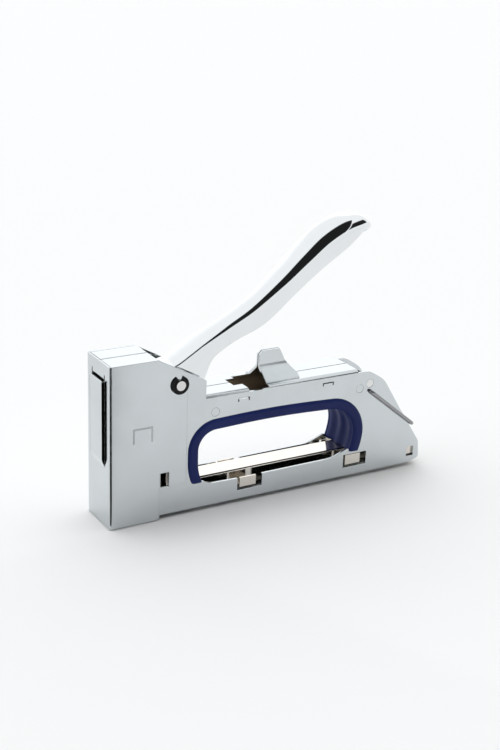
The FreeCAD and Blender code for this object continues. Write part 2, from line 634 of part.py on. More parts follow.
def build_driver():
    """Plunger with two uprights whose ears rest over the lift arms, and the driver blade."""
    back = "blade_front + blade_wall"
    ear_low = "pivot_z - arm_reach * sin(arm_angle * 1 deg) + arm_tip + 0.15"
    parts = [block("plunger_block", back, "plunger_rear", "-(plunger_inner) - 1", "plunger_inner + 1",
                   "plunger_low", "plunger_seat")]
    for side, sign in (("left", "-1"), ("right", "1")):
        low, high = ("-(plunger_inner) - 1", "-(plunger_inner)") if sign == "-1" else (
            "plunger_inner", "plunger_inner + 1")
        parts.append(block(side + "_upright", "spring_x - 4.5", "spring_x + 4.5", low, high,
                           "plunger_seat - 1", ear_low + " + 2"))
        outer = ("-(arm_inner) - arm_wall", "-(plunger_inner)") if sign == "-1" else (
            "plunger_inner", "arm_inner + arm_wall")
        parts.append(block(side + "_ear", "spring_x - 4.5", "spring_x + 1.7", outer[0], outer[1],
                           ear_low, ear_low + " + 2"))
    solid = fuse("plunger_solid", *parts)
    rivet_z = ["plunger_low + 2.2", "plunger_seat - 2"]
    bores = [cylinder("plunger_bore_%d" % number, "x", back + " - 1", "0", z, "1.25 + gap / 2", "5.1")
             for number, z in enumerate(rivet_z)]
    place(cut("plunger", solid, fuse("plunger_bores", *bores)))

    body = make_body("driver_blade")
    extrude(body, "Pad", "blade", "end", "blade_front", back, [
        ("-(blade_half)", "0.6"), ("blade_half", "0.6"), ("blade_half", "plunger_seat", "1.5"),
        ("-(blade_half)", "plunger_seat", "1.5")])
    extrude(body, "Pocket", "blade_holes", "end", "blade_front - 1", back + " + 1",
            *[("0", z, "1.25 + gap / 2") for z in rivet_z])

    rivets = []
    for number, z in enumerate(rivet_z):
        shank = cylinder("blade_rivet_shank_%d" % number, "x", "blade_front - 0.3", "0", z, "1.25", "5")
        head = cylinder("blade_rivet_head_%d" % number, "x", "blade_front - 0.65", "0", z, "2", "0.6")
        rivets.append(fuse("blade_rivet_%d" % number, shank, head))
    place(group("blade_rivets", *rivets))


build_driver()


def build_power_spring():
    """Compression spring over the plunger, in the top seat, with the bumper and guide below."""
    high = value("nose_top - cover_wall - gap - seat_wall")
    low = value("plunger_seat")
    wire = value("spring_wire") / 2
    rise = high - low - 2 * wire - 0.2
    helix = Part.makeHelix(rise / value("spring_turns"), rise, value("spring_radius") - wire)
    start = FreeCAD.Vector(value("spring_radius") - wire, 0, 0)
    profile = Part.Wire([Part.Circle(start, FreeCAD.Vector(0, 1, 0), wire).toShape()])
    coil = Part.Wire(helix.Edges).makePipeShell([profile], True, True)
    spring = doc.addObject("Part::Feature", "power_spring")
    spring.Shape = coil
    place(spring, "spring_x", "plunger_seat + spring_wire / 2 + 0.1")

    ceiling = "nose_top - cover_wall - gap"
    disc = cylinder("seat_disc", "z", "spring_x", "0", ceiling + " - seat_wall", "spring_radius + 0.3",
                    "seat_wall")
    boss = cylinder("seat_boss", "z", "spring_x", "0", ceiling + " - seat_wall - 2.5",
                    "spring_radius - spring_wire - 0.4", "2.6")
    place(fuse("spring_seat", disc, boss))

    body = make_body("bumper")
    extrude(body, "Pad", "cushion", "top", "plunger_low - bumper_high - gap", "plunger_low - gap",
            [("blade_front + blade_wall + 1.2", "-(plunger_inner)", "2"),
             ("plunger_rear - 1", "-(plunger_inner)", "2"), ("plunger_rear - 1", "plunger_inner", "2"),
             ("blade_front + blade_wall + 1.2", "plunger_inner", "2")])

    body = make_body("driver_guide")
    outside = "shell_half - shell_wall - gap"
    extrude(body, "Pad", "guide", "top", "bar_top + gap", "plunger_low - bumper_high - 2 * gap",
            [("blade_front + blade_wall + 0.2", "-(%s)" % outside),
             ("plunger_rear", "-(%s)" % outside), ("plunger_rear", outside),
             ("blade_front + blade_wall + 0.2", outside)])
    extrude(body, "Pocket", "guide_hollow", "top", "bar_top - 1", "plunger_low - bumper_high - 2",
            box_loop("blade_front + blade_wall + 2", "plunger_rear + 1", "-(%s) + 1.6" % outside,
                     "%s - 1.6" % outside))


build_power_spring()


# ---------------------------------------------------------------- magazine

def build_channel():
    """Nickelled channel that carries the staples, with lugs that key into the shell windows."""
    body = make_body("magazine_channel")
    low = "sole_step + 0.7"
    extrude(body, "Pad", "bar", "end", "bar_front", "bar_rear", [
        ("-(bar_half)", low), ("-(bar_half)", "bar_top", "0.9"), ("bar_half", "bar_top", "0.9"),
        ("bar_half", low), ("bar_half - bar_wall", low), ("bar_half - bar_wall", "bar_top - bar_wall"),
        ("-(bar_half) + bar_wall", "bar_top - bar_wall"), ("-(bar_half) + bar_wall", low)])
    outer = "shell_half - gap"
    lugs = [("mid", "grip_front + 30.6", "grip_front + 40.2", "window_low + 1.4", "bar_top - 2.2"),
            ("rear", "grip_rear - 10.4", "grip_rear - 0.8", "window_low + 1.4", "window_low + 7.0"),
            ("front", "nose_deep - 10.4", "nose_deep - 1.2", "17.5", "24.5")]
    for name, x_low, x_high, z_low, z_high in lugs:
        web_high = z_low + " + tab_wall"
        for side, near, far in (("left", "-(%s)" % outer, "-(bar_half) + 0.3"),
                                ("right", "bar_half - 0.3", outer)):
            extrude(body, "Pad", "%s_web_%s" % (name, side), "side", near, far,
                    box_loop(x_low, x_high, z_low, web_high))
            face = (near, near + " + tab_wall") if side == "left" else (far + " - tab_wall", far)
            extrude(body, "Pad", "%s_tab_%s" % (name, side), "side", face[0], face[1],
                    box_loop(x_low, x_high, z_low, z_high))
            if name == "front":
                riser = (far + " - tab_wall", far) if side == "left" else (near, near + " + tab_wall")
                extrude(body, "Pad", "front_riser_" + side, "side", riser[0], riser[1],
                        box_loop(x_low, x_high, "bar_top - 1", web_high))
    return body


def build_rail():
    """Sliding staple rail with its end cap and the rod that carries the pusher spring."""
    body = make_body("magazine_rail")
    extrude(body, "Pad", "rail", "end", "bar_front + gap", "cap_front", [
        ("-(rail_half)", "rail_low"), ("-(rail_half)", "rail_top", "1"), ("rail_half", "rail_top", "1"),
        ("rail_half", "rail_low"), ("rail_half - rail_wall", "rail_low"),
        ("rail_half - rail_wall", "rail_top - rail_wall"),
        ("-(rail_half) + rail_wall", "rail_top - rail_wall"), ("-(rail_half) + rail_wall", "rail_low")])
    extrude(body, "Pocket", "rail_slot", "top", "rail_top - 2", "rail_top + 1",
            box_loop("bar_front + 3.5", "cap_front - 8", "-1.3", "1.3"))

    cap = make_body("rail_end_cap")
    extrude(cap, "Pad", "cap", "side", "-(cap_half)", "cap_half", [
        ("cap_front", "rail_low"), ("cap_rear", "rail_low", "1.5"), ("cap_rear", "bar_top - 1", "3"),
        ("cap_front", "bar_top - 1")])
    extrude(cap, "Pad", "cap_flange", "side", "-(catch_half)", "catch_half", [
        ("cap_rear - 0.5", "rail_low"), ("cap_rear + 1", "rail_low", "0.5"),
        ("cap_rear + 1", "rail_low + 9", "0.5"), ("cap_rear - 0.5", "rail_low + 9")])
    extrude(cap, "Pocket", "catch_bore", "side", "-(catch_half)", "catch_half",
            ("cap_front + 4", "9", "1.5 + running_fit"))
    extrude(cap, "Pocket", "rod_bore", "end", "cap_front - 1", "cap_front + 1.5",
            ("0", "rod_z", "rod_radius + running_fit"))

    stub = "catch_half - catch_wall"
    for side, low in (("left", "-(catch_half)"), ("right", stub)):
        plate = make_body("catch_" + side)
        extrude(plate, "Pad", "plate", "side", low, low + " + catch_wall", [
            ("cap_front - 1", "5.2", "1"), ("cap_rear - 0.9", "5.2", "1"),
            ("cap_rear - 0.9", "12", "1"), ("cap_front - 1", "12", "1")])
        inner = ("-(%s) - 0.1" % stub, "-3.6") if side == "left" else ("3.6", stub + " + 0.1")
        extrude(plate, "Pad", "stub", "side", inner[0], inner[1], ("cap_front + 4", "9", "1.5"))

    rod = cylinder("rod", "x", "bar_front + 2", "0", "rod_z", "rod_radius", "cap_front + 1.4 - bar_front - 2")
    rod_head = cylinder("rod_head", "x", "bar_front + 0.6", "0", "rod_z", "rod_radius + 1.2", "1.5")
    place(fuse("guide_rod", rod, rod_head))


def build_pusher():
    """Pusher that straddles the rail, with a tongue through the rail's slot on to the rod."""
    body = make_body("staple_pusher")
    rear = "pusher_front + pusher_length"
    outer = "bar_half - bar_wall - gap"
    inner = "rail_half + gap"
    extrude(body, "Pad", "saddle", "end", "pusher_front", rear, [
        ("-(%s)" % outer, "rail_low + 1"), ("-(%s)" % outer, "bar_top - bar_wall - gap", "0.8"),
        (outer, "bar_top - bar_wall - gap", "0.8"), (outer, "rail_low + 1"),
        (inner, "rail_low + 1"), (inner, "rail_top + gap"), ("-(%s)" % inner, "rail_top + gap"),
        ("-(%s)" % inner, "rail_low + 1")])
    extrude(body, "Pad", "tongue", "end", "pusher_front", "pusher_front + 4", [
        ("-1.1", "rod_z"), ("1.1", "rod_z"), ("1.1", "rail_top + 0.5"), ("-1.1", "rail_top + 0.5")])
    extrude(body, "Pad", "eye", "end", "pusher_front", "pusher_front + 4", ("0", "rod_z", "2.7"))
    extrude(body, "Pocket", "eye_bore", "end", "pusher_front - 1", "pusher_front + 5",
            ("0", "rod_z", "rod_radius + running_fit"))

    wire = 0.3
    low = value("pusher_front + 4") + wire + 0.1
    rise = value("cap_front") - low - wire - 0.1
    radius = 2.1
    helix = Part.makeHelix(rise / 44, rise, radius)
    start = FreeCAD.Vector(radius, 0, 0)
    profile = Part.Wire([Part.Circle(start, FreeCAD.Vector(0, 1, 0), wire).toShape()])
    coil = Part.Wire(helix.Edges).makePipeShell([profile], True, True)
    spring = doc.addObject("Part::Feature", "pusher_spring")
    spring.Shape = coil
    spring.Placement = FreeCAD.Placement(FreeCAD.Vector(), TURNS["x"])
    place(spring, "pusher_front + 4.4", "rod_z")


build_channel()
build_rail()
build_pusher()


# ---------------------------------------------------------------- lock bail

def build_bail():
    """Wire bail that swings up over the squeezed lever; its bent ends turn in the shells."""
    x, z = value("bail_x"), value("bail_z")
    end_x, end_z = value("bar_x"), value("bar_z")
    half, bend = value("bail_half"), value("bail_bend")
    tip = value("shell_half - shell_wall - 0.6")
    leg = FreeCAD.Vector(end_x - x, 0, end_z - z)
    along = FreeCAD.Vector(leg).normalize()
    side = FreeCAD.Vector(0, 1, 0)
    near, far = FreeCAD.Vector(x, 0, z), FreeCAD.Vector(end_x, 0, end_z)
    corners = [near - side * tip, near - side * half, far - side * half,
               far + side * half, near + side * half, near + side * tip]
    bends = [value("wire_radius") + 0.4, bend, bend, value("wire_radius") + 0.4]
    edges = []
    reached = corners[0]
    for index, radius in enumerate(bends, start=1):
        begin, middle, end = corner_points(corners[index - 1], corners[index], corners[index + 1], radius)
        edges.append(Part.LineSegment(reached, begin).toShape())
        edges.append(Part.Arc(begin, middle, end).toShape())
        reached = end
    edges.append(Part.LineSegment(reached, corners[-1]).toShape())
    path = Part.Wire(edges)
    profile = Part.Wire([Part.Circle(corners[0], side, value("wire_radius")).toShape()])
    wire = path.makePipeShell([profile], True, False)
    bail = doc.addObject("Part::Feature", "lock_bail")
    bail.Shape = wire
    place(bail)


build_bail()


# ---------------------------------------------------------------- check and write

NODES = [
    "body_shell_left", "body_shell_right", "nose_cover", "grip_insert", "pivot_pin", "pivot_clip",
    "pivot_spacers", "shell_rivets", "rear_spacer_pin", "hand_lever", "lift_arm_left",
    "lift_arm_right", "lever_rivets", "plunger", "driver_blade", "blade_rivets", "power_spring",
    "spring_seat", "bumper", "driver_guide", "magazine_channel", "magazine_rail", "rail_end_cap",
    "catch_left", "catch_right", "guide_rod", "staple_pusher", "pusher_spring", "lock_bail",
]

doc.recompute()
for item in doc.Objects:
    faults = {"Invalid", "Error"} & set(item.State)
    if faults:
        raise RuntimeError("%s failed: %s" % (item.Label, item.State))

os.makedirs("parts", exist_ok=True)
for label in NODES:
    shape = doc.getObjectsByLabel(label)[0].Shape
    if shape.isNull() or not shape.isValid() or not shape.Solids:
        raise RuntimeError("%s has no valid solid" % label)
    print("%-18s %2d solid(s) %9.1f mm3" % (label, len(shape.Solids), shape.Volume))
for label in NODES:
    doc.getObjectsByLabel(label)[0].Shape.exportStep("parts/%s.step" % label)
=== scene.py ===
import json
import math

import bmesh
import bpy
from mathutils import Matrix, Vector


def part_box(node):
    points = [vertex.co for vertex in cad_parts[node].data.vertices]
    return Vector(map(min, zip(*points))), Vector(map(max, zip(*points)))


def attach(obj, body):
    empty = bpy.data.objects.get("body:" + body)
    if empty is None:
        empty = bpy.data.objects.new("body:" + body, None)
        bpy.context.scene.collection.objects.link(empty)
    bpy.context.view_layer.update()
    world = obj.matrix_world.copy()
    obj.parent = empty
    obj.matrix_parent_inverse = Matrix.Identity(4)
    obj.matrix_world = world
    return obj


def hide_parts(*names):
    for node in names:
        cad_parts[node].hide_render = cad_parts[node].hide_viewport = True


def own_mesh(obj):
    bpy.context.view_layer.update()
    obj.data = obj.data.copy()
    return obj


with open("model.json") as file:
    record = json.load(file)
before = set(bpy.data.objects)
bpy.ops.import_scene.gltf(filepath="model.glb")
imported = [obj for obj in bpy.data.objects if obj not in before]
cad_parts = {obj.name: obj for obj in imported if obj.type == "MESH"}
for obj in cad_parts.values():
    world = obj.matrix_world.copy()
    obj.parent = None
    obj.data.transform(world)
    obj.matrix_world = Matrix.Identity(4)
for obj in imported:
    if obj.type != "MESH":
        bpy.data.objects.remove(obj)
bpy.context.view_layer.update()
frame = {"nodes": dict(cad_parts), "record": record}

bl_info = {
    "name": "Staple gun",
    "version": (1, 0, 0),
    "blender": (4, 5, 0),
    "location": "3D View > Sidebar > Staple gun",
    "description": "Builds the plated looks of a hand staple gun around its packed frame",
    "category": "Object",
}

NODES = frame["nodes"]
MM = 0.001


def joint(name):
    """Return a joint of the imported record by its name."""
    return next(item for item in frame["record"]["behaviour"]["joints"] if item["name"] == name)


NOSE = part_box("nose_cover")
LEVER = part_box("hand_lever")
PIVOT = Vector(joint("lever_hinge")["pos_m"])
REACH = LEVER[1][0] - PIVOT.x
# The lever's crown swells a little past its curve, so the curve ends just under the CAD lever's top.
RISE = (LEVER[1][2] - PIVOT.z) * 0.995


# ---------------------------------------------------------------- shader maths

class Value:
    """A node socket that can be used in Python expressions."""

    def __init__(self, tree, socket):
        self.tree = tree
        self.socket = socket

    def maths(self, operation, *values):
        """Return a Math node's result on these values."""
        return self.tree.add("ShaderNodeMath", {"operation": operation}, dict(enumerate(values)))

    def __add__(self, other):
        return self.maths("ADD", self, other)

    def __sub__(self, other):
        return self.maths("SUBTRACT", self, other)

    def __rsub__(self, other):
        return self.maths("SUBTRACT", other, self)

    def __mul__(self, other):
        return self.maths("MULTIPLY", self, other)

    def __neg__(self):
        return self.maths("MULTIPLY", self, -1)

    def __abs__(self):
        return self.maths("ABSOLUTE", self)

    def __lt__(self, other):
        return self.maths("LESS_THAN", self, other)

    def __gt__(self, other):
        return self.maths("GREATER_THAN", self, other)

    def most(self, other):
        """Return the larger of two values."""
        return self.maths("MAXIMUM", self, other)

    def between(self, low, high):
        """Return 1 where the value lies between two limits, and 0 elsewhere."""
        return (self > low) * (self < high)

    def near(self, middle, half):
        """Return 1 where the value is within half of a middle, and 0 elsewhere."""
        return abs(self - middle) < half

    def ramp(self, low, high):
        """Return a smooth step from 0 at low to 1 at high."""
        return self.tree.add("ShaderNodeMapRange", {"interpolation_type": "SMOOTHSTEP"},
                             {"Value": self, "From Min": low, "From Max": high})

    __radd__ = __add__
    __rmul__ = __mul__


class Tree:
    """A material's or a world's node tree."""

    def __init__(self, owner):
        owner.use_nodes = True
        self.tree = owner.node_tree
        self.tree.nodes.clear()

    def add(self, kind, settings, sockets, out=0):
        """Add a node with its settings and sockets' values or links; return an output, or all for None."""
        node = self.tree.nodes.new(kind)
        for name, setting in settings.items():
            setattr(node, name, setting)
        for key, given in sockets.items():
            if isinstance(given, Value):
                self.tree.links.new(given.socket, node.inputs[key])
            else:
                node.inputs[key].default_value = given
        if out is None:
            return [Value(self, socket) for socket in node.outputs]
        return Value(self, node.outputs[out])

    def split(self, vector):
        """Return a vector's three numbers."""
        return self.add("ShaderNodeSeparateXYZ", {}, {0: vector}, out=None)

    def blend(self, factor, first, second):
        """Return a mix of two colours."""
        return self.add("ShaderNodeMix", {"data_type": "RGBA"}, {0: factor, 6: first, 7: second}, out=2)

    def close(self, kind, shader):
        """Lead a shader to the tree's output."""
        self.add(kind, {}, {0: shader}, out=None)


def rgba(colour):
    """Return a colour as four numbers, the last one opaque."""
    return (*colour, 1.0)


# ---------------------------------------------------------------- sizes and colours

class GunColours(bpy.types.PropertyGroup):
    """Colours of the finishes."""

    plate: bpy.props.FloatVectorProperty(
        name="Chrome plate", description="Colour of the bright plated sheet", subtype="COLOR",
        size=3, min=0, max=1, default=(0.62, 0.655, 0.67))
    lever: bpy.props.FloatVectorProperty(
        name="Lever plate", description="Colour of the polished lever", subtype="COLOR",
        size=3, min=0, max=1, default=(0.80, 0.82, 0.83))
    wire: bpy.props.FloatVectorProperty(
        name="Wire", description="Colour of the bail's drawn wire", subtype="COLOR",
        size=3, min=0, max=1, default=(0.34, 0.34, 0.35))
    nickel: bpy.props.FloatVectorProperty(
        name="Nickel", description="Colour of the warm nickel on the magazine", subtype="COLOR",
        size=3, min=0, max=1, default=(0.74, 0.70, 0.64))
    steel: bpy.props.FloatVectorProperty(
        name="Spring steel", description="Colour of the oiled steel inside", subtype="COLOR",
        size=3, min=0, max=1, default=(0.20, 0.17, 0.14))
    turned: bpy.props.FloatVectorProperty(
        name="Turned steel", description="Colour of pins and rivets", subtype="COLOR",
        size=3, min=0, max=1, default=(0.76, 0.76, 0.75))
    grip: bpy.props.FloatVectorProperty(
        name="Grip", description="Colour of the moulded grip insert", subtype="COLOR",
        size=3, min=0, max=1, default=(0.007, 0.016, 0.105))
    clip: bpy.props.FloatVectorProperty(
        name="Clip", description="Colour of the blackened clip and bumper", subtype="COLOR",
        size=3, min=0, max=1, default=(0.004, 0.004, 0.005))
    inside: bpy.props.FloatVectorProperty(
        name="Grip back", description="Colour of the greasy back of the grip, inside the shells",
        subtype="COLOR", size=3, min=0, max=1, default=(0.34, 0.23, 0.14))
    floor: bpy.props.FloatVectorProperty(
        name="Floor", description="Colour of the floor", subtype="COLOR",
        size=3, min=0, max=1, default=(0.93, 0.93, 0.93))


class GunSizes(bpy.types.PropertyGroup):
    """Sizes that shape the visible pieces and the view."""

    lever_wall: bpy.props.FloatProperty(
        name="Lever wall", description="Thickness of the lever's plate", unit="LENGTH", default=1.1 * MM)
    grip_band: bpy.props.FloatProperty(
        name="Grip band", description="Depth of the grip's band, from the shells to the hand",
        unit="LENGTH", default=6.2 * MM)
    grip_lip: bpy.props.FloatProperty(
        name="Grip lip", description="Radius of the grip's rounded edges", unit="LENGTH", default=1.9 * MM)
    grip_channel: bpy.props.FloatProperty(
        name="Grip channels", description="Depth of the channels along the grip's inner face",
        unit="LENGTH", default=0.9 * MM)
    power_wire: bpy.props.FloatProperty(
        name="Power spring wire", description="Radius of the power spring's wire", unit="LENGTH",
        default=1.0 * MM)
    power_turns: bpy.props.FloatProperty(
        name="Power spring turns", description="Turns of the power spring", default=6.5)
    pusher_wire: bpy.props.FloatProperty(
        name="Pusher spring wire", description="Radius of the pusher spring's wire", unit="LENGTH",
        default=0.3 * MM)
    pusher_turns: bpy.props.FloatProperty(
        name="Pusher spring turns", description="Turns of the pusher spring", default=44)
    azimuth: bpy.props.FloatProperty(
        name="Azimuth", description="Direction the camera looks from", subtype="ANGLE",
        default=math.radians(-30.76))
    elevation: bpy.props.FloatProperty(
        name="Elevation", description="Height of the camera's view", subtype="ANGLE",
        default=math.radians(19.82))
    roll: bpy.props.FloatProperty(
        name="Roll", description="Tilt of the camera about its view", subtype="ANGLE",
        default=math.radians(2.09))
    distance: bpy.props.FloatProperty(
        name="Distance", description="From the camera to its target", unit="LENGTH", default=0.666)
    lens: bpy.props.FloatProperty(
        name="Lens", description="Focal length in millimetres", unit="CAMERA", default=62.6)


# ---------------------------------------------------------------- finishes

# Near-black colour of painted shade in seams and folds, and of painted dark reflections.
SHADE_AND_REFLECTION_COLOUR = (0.012, 0.011, 0.010, 1)


def finish_metal(name, colour, rough, grime=0.25, wave=0.02, edge=0.25 * MM, marks=None, painted_dark_lines=None):
    """Make a plated or bare metal: faint waviness, fine handling marks, softened edges."""
    material = bpy.data.materials.new(name)
    tree = Tree(material)
    place = tree.add("ShaderNodeTexCoord", {}, {}, out="Object")
    cloud = tree.add("ShaderNodeTexNoise", {}, {"Vector": place, "Scale": 38.0, "Detail": 4.0,
                                                "Roughness": 0.6})
    fine = tree.add("ShaderNodeTexNoise", {}, {"Vector": place, "Scale": 900.0, "Detail": 3.0,
                                               "Roughness": 0.7})
    smear = cloud.ramp(0.42, 0.72)
    dull = [channel * (1 - 0.25 * grime) for channel in colour]
    base = tree.blend(smear * 0.6, rgba(colour), rgba(dull))
    roughness = smear * (0.05 * grime) + fine.ramp(0.45, 0.8) * (0.08 * grime) + rough
    height = cloud * wave
    if marks:
        engraved = marks(tree, place)
        shaded = [channel * 0.45 for channel in colour]
        base = tree.blend(engraved * 0.30, base, rgba(shaded))
        roughness = roughness + engraved * 0.22
        height = height - engraved * 0.6
    # Painted shade and painted dark reflections: thin lines blended towards near-black, and made rougher.
    if painted_dark_lines:
        dark = painted_dark_lines(tree, place)
        base = tree.blend(dark, base, SHADE_AND_REFLECTION_COLOUR)
        roughness = roughness + dark * 0.3
    soft = tree.add("ShaderNodeBevel", {"samples": 4}, {"Radius": edge})
    normal = tree.add("ShaderNodeBump", {}, {"Strength": 0.12, "Distance": 0.2 * MM, "Height": height,
                                             "Normal": soft})
    shader = tree.add("ShaderNodeBsdfPrincipled", {}, {
        "Base Color": base, "Metallic": 1.0, "Roughness": roughness, "Normal": normal})
    tree.close("ShaderNodeOutputMaterial", shader)
    return material


def finish_plastic(name, colour, rough, grain=0.35):
    """Make a moulded plastic or rubber: fine spark-eroded grain and a dull, uneven sheen."""
    material = bpy.data.materials.new(name)
    tree = Tree(material)
    place = tree.add("ShaderNodeTexCoord", {}, {}, out="Object")
    fine = tree.add("ShaderNodeTexNoise", {}, {"Vector": place, "Scale": 2600.0, "Detail": 4.0,
                                               "Roughness": 0.65})
    cloud = tree.add("ShaderNodeTexNoise", {}, {"Vector": place, "Scale": 55.0, "Detail": 3.0})
    lighter = [min(1.0, channel * 1.5 + 0.004) for channel in colour]
    base = tree.blend(cloud.ramp(0.3, 0.75) * 0.5, rgba(colour), rgba(lighter))
    roughness = cloud * 0.12 + rough
    normal = tree.add("ShaderNodeBump", {}, {"Strength": grain, "Distance": 0.06 * MM, "Height": fine})
    shader = tree.add("ShaderNodeBsdfPrincipled", {}, {
        "Base Color": base, "Roughness": roughness, "Normal": normal, "Specular IOR Level": 0.2})
    tree.close("ShaderNodeOutputMaterial", shader)
    return material


def finish_matt(name, colour, rough, shine=0.5):
    """Make a plain, even finish for the stage."""
    material = bpy.data.materials.new(name)
    tree = Tree(material)
    shader = tree.add("ShaderNodeBsdfPrincipled", {}, {
        "Base Color": colour, "Roughness": rough, "Specular IOR Level": shine})
    tree.close("ShaderNodeOutputMaterial", shader)
    return material


def cheek_marks(tree, place):
    """Return where the cheeks are lightly stamped with the outline of a staple."""
    middle, foot = NOSE[0][0] + 18.9 * MM, NOSE[0][2] + 43 * MM
    crown_half, leg, stroke = 5.4 * MM, 8 * MM, 1 * MM
    x, _, z = tree.split(place)
    across = abs(x - middle)
    up = z - foot
    outer = (across < crown_half) * up.between(0, leg)
    gap = (across < crown_half - stroke) * (up < leg - stroke)
    return outer * (1 - gap)


def nose_painted_shade_and_reflection(tree, place):
    """Return where dark lines are painted on the nose cover: painted dark reflection on both sides of the
    front pad, and painted shade in the folds on top.
    """
    front, top = NOSE[0][0], NOSE[1][2]
    pad_deep, pad_foot, pad_head = 1.36 * MM, 33 * MM, 75 * MM
    line = 0.16 * MM
    left_fold, right_fold = -0.6 * MM, 11.6 * MM
    x, y, z = tree.split(place)
    # Painted dark reflection on the side walls of the front pad.
    pad = abs(y).between(6.85 * MM, 7.1 * MM) * z.between(pad_foot, pad_head) * (x < front + pad_deep)
    # Painted shade in the folds on top, and in the gap just behind the front plate.
    folds = y.near(left_fold, line).most(y.near(right_fold, line))
    folds = folds * x.between(front + 2.2 * MM, front + 26.2 * MM)
    ahead = x.near(front + 2.4 * MM, line) * y.between(-0.8 * MM, 11.7 * MM)
    return pad.most(folds.most(ahead) * (z > top - 0.25 * MM))


def shell_painted_seam_shade(tree, place):
    """Return where painted shade darkens the seam along the shells' tops, behind the nose and ahead of the
    rear slope.
    """
    front, rear, below = -40 * MM, 52 * MM, 56 * MM
    x, y, z = tree.split(place)
    return y.near(0, 0.32 * MM) * (z > below) * x.between(front, rear)


def bar_painted_reflection(tree, place):
    """Return where a painted dark reflection lines both shoulders of the magazine's bar."""
    shoulder, below = 5.95 * MM, 15 * MM
    _, y, z = tree.split(place)
    return abs(y).near(shoulder, 0.2 * MM) * (z > below)


def make_finishes(colours):
    """Return every finish by its name."""
    return {
        "chrome_plate": finish_metal("chrome_plate", colours.plate, 0.13, grime=0.3, painted_dark_lines=shell_painted_seam_shade),
        "nose_plate": finish_metal("nose_plate", colours.plate, 0.14, grime=0.3, edge=0.5 * MM,
                                   marks=cheek_marks, painted_dark_lines=nose_painted_shade_and_reflection),
        "lever_plate": finish_metal("lever_plate", colours.lever, 0.04, grime=0.2, wave=0.01),
        "wire_chrome": finish_metal("wire_chrome", colours.wire, 0.10, grime=0.3, edge=0.1 * MM),
        "nickel": finish_metal("nickel", colours.nickel, 0.10, grime=0.4, painted_dark_lines=bar_painted_reflection),
        "spring_steel": finish_metal("spring_steel", colours.steel, 0.30, grime=1.0),
        "pin_steel": finish_metal("pin_steel", colours.turned, 0.18, grime=0.6, edge=0.15 * MM),
        "black_clip": finish_plastic("black_clip", colours.clip, 0.30, grain=0.1),
        "blue_grip": finish_plastic("blue_grip", colours.grip, 0.42),
        "grip_back": finish_plastic("grip_back", colours.inside, 0.5),
        "bumper": finish_plastic("bumper", colours.clip, 0.65),
    }


FINISHES = {}


def finish(name):
    """Return a finish by its name; all of them are made at the first call."""
    if not FINISHES:
        FINISHES.update(make_finishes(bpy.context.scene.gun_colours))
    return FINISHES[name]


# ---------------------------------------------------------------- mesh helpers

def new_piece(name, mesh, body, slot, material=None):
    """Put a mesh into the scene, riding on a body, with its finish."""
    piece = bpy.data.objects.new(name, mesh)
    bpy.context.scene.collection.objects.link(piece)
    mesh.materials.append(finish(material or slot))
    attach(piece, body)
    return piece


def to_mesh(name, shape):
    """Return a smooth mesh of a shape, with its faces turned outwards."""
    bmesh.ops.recalc_face_normals(shape, faces=shape.faces)
    mesh = bpy.data.meshes.new(name)
    shape.to_mesh(mesh)
    shape.free()
    mesh.shade_smooth()
    return mesh


def skin(name, rings):
    """Return a closed mesh that joins rings of points, one after another."""
    shape = bmesh.new()
    rows = [[shape.verts.new(point) for point in ring] for ring in rings]
    for row, after in zip(rows, rows[1:]):
        for index in range(len(row)):
            following = (index + 1) % len(row)
            shape.faces.new((row[index], row[following], after[following], after[index]))
    shape.faces.new(rows[0][::-1])
    shape.faces.new(rows[-1])
    return to_mesh(name, shape)


def spline(points, count):
    """Return count rows along a smooth curve through rows of numbers."""
    rows = []
    spans = len(points) - 1
    for step in range(count):
        place = step * spans / (count - 1)
        index = min(int(place), spans - 1)
        part = place - index
        before = points[max(index - 1, 0)]
        after = points[min(index + 2, spans)]
        leave = 3 * part ** 2 - 2 * part ** 3
        slope_first = part ** 3 - 2 * part ** 2 + part
        slope_second = part ** 3 - part ** 2
        row = []
        for a, b, c, d in zip(before, points[index], points[index + 1], after):
            row.append((1 - leave) * b + leave * c + slope_first * (c - a) / 2 + slope_second * (d - b) / 2)
        rows.append(row)
    return rows


# ---------------------------------------------------------------- hand lever

# Along the lever from root to tip: place of the crown as shares of its reach and rise from the
# pivot, depth of the flanges, half width and shoulder radius in mm, slope in degrees.
LEVER_SHAPE = [
    (-0.075, 0.032, 14.0, 8.0, 0.9, 62),
    (-0.045, 0.095, 17.8, 8.0, 0.9, 45),
    (0.010, 0.115, 17.5, 8.0, 0.9, 29),
    (0.070, 0.168, 16.0, 8.0, 0.9, 29),
    (0.134, 0.228, 10.2, 7.9, 1.0, 27),
    (0.200, 0.282, 9.0, 7.2, 1.6, 26),
    (0.272, 0.342, 9.6, 6.6, 2.3, 29),
    (0.383, 0.443, 11.7, 7.0, 3.2, 36),
    (0.517, 0.620, 11.4, 8.8, 5.0, 43),
    (0.623, 0.776, 12.6, 9.8, 6.2, 41),
    (0.721, 0.903, 14.0, 10.0, 6.6, 34),
    (0.833, 0.989, 12.8, 9.8, 6.4, 15),
    (0.920, 1.000, 9.6, 8.8, 5.6, -8),
    (0.972, 0.968, 6.6, 7.2, 4.0, -34),
    (0.997, 0.916, 3.4, 4.6, 2.4, -52),
]


# How finely a flange, a shoulder and the lever's length are cut.
FLANK_STEPS = 9
BEND_STEPS = 10
LEVER_ROWS = 150
# Where the channel ends, as a share of the reach; the tightest inner shoulder; and how far the
# crown swells, as a share of the half width.
HOLLOW_END = 0.93
SMALLEST_BEND = 0.3 * MM
CROWNING = 0.012


